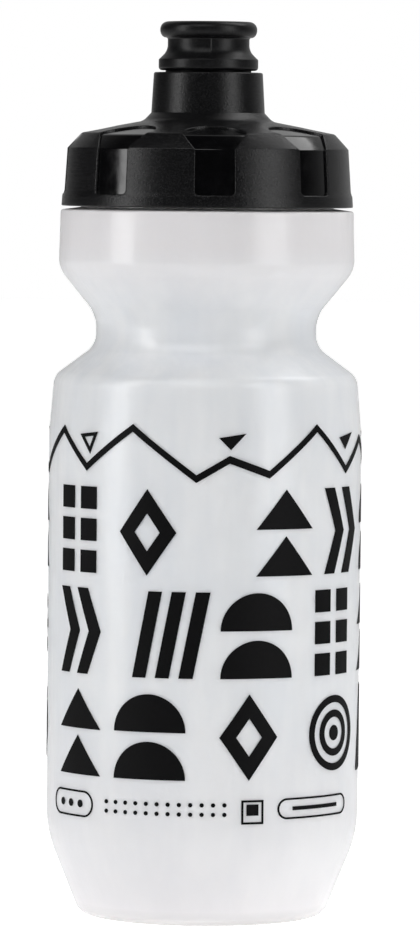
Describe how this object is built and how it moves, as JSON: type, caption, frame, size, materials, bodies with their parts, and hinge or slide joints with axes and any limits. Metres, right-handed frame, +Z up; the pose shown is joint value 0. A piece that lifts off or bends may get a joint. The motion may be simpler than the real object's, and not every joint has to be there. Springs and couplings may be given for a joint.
{
  "type": "water bottle",
  "caption": "Translucent squeeze bottle with a finger groove, printed shapes, a black screw lid with a windowed soft grip, and a push-pull spout that holds a self-sealing valve.",
  "frame": {"origin": "centre of the base on the surface that the bottle stands on", "axes": "+Z up along the bottle's axis to the spout; -Y towards the front of the print; +X to the right seen from the front"},
  "size_m": [0.0738, 0.0738, 0.2102],
  "materials": {
    "ldpe": "milky translucent blow-moulded LDPE, satin",
    "ink": "screen-printed black ink",
    "hard_plastic": "moulded black polypropylene, glossy",
    "soft_grip": "black thermoplastic elastomer, fine matt texture",
    "gasket_rubber": "pale silicone",
    "seal_rubber": "black rubber",
    "silicone": "clear-milky silicone"
  },
  "bodies": {
    "bottle": {"bottle_body": "ldpe", "print_ridge": "ink", "print_shapes": "ink", "print_marks": "ink"},
    "sealing_ring": {"lid_gasket": "gasket_rubber"},
    "lid": {"lid_core": "hard_plastic", "lid_grip": "soft_grip", "spout_post": "hard_plastic", "post_seal_ring": "seal_rubber"},
    "spout": {"spout_carrier": "hard_plastic", "mouthpiece": "soft_grip", "valve_rim": "silicone", "valve_retainer": "hard_plastic"},
    "flap_front": {"valve_flap_front": "silicone"},
    "flap_right": {"valve_flap_right": "silicone"},
    "flap_back": {"valve_flap_back": "silicone"},
    "flap_left": {"valve_flap_left": "silicone"}
  },
  "joints": [
    {"name": "lid_rise", "type": "slide", "parent": "bottle", "child": "sealing_ring", "axis": [0, 0, 1], "range_m": [0, 0.0151]},
    {"name": "lid_turn", "type": "hinge", "parent": "sealing_ring", "child": "lid", "pos_m": [0, 0, 0.1668], "axis": [0, 0, 1], "range_deg": [0, 1080]},
    {"name": "spout_pull", "type": "slide", "parent": "lid", "child": "spout", "axis": [0, 0, 1], "range_m": [0, 0.0064]},
    {"name": "valve_open_front", "type": "hinge", "parent": "spout", "child": "flap_front", "pos_m": [0, -0.00368, 0.2051], "axis": [1, 0, 0], "range_deg": [0, 50], "stiffness_Nm_per_rad": 0.000002},
    {"name": "valve_open_right", "type": "hinge", "parent": "spout", "child": "flap_right", "pos_m": [0.00368, 0, 0.2051], "axis": [0, 1, 0], "range_deg": [0, 50], "stiffness_Nm_per_rad": 0.000002},
    {"name": "valve_open_back", "type": "hinge", "parent": "spout", "child": "flap_back", "pos_m": [0, 0.00368, 0.2051], "axis": [-1, 0, 0], "range_deg": [0, 50], "stiffness_Nm_per_rad": 0.000002},
    {"name": "valve_open_left", "type": "hinge", "parent": "spout", "child": "flap_left", "pos_m": [-0.00368, 0, 0.2051], "axis": [0, -1, 0], "range_deg": [0, 50], "stiffness_Nm_per_rad": 0.000002}
  ],
  "couplings": [
    {"joint": "lid_rise", "follows": "lid_turn", "m_per_rad": 0.00079577},
    {"joint": "valve_open_right", "follows": "valve_open_front", "ratio": 1},
    {"joint": "valve_open_back", "follows": "valve_open_front", "ratio": 1},
    {"joint": "valve_open_left", "follows": "valve_open_front", "ratio": 1}
  ]
}
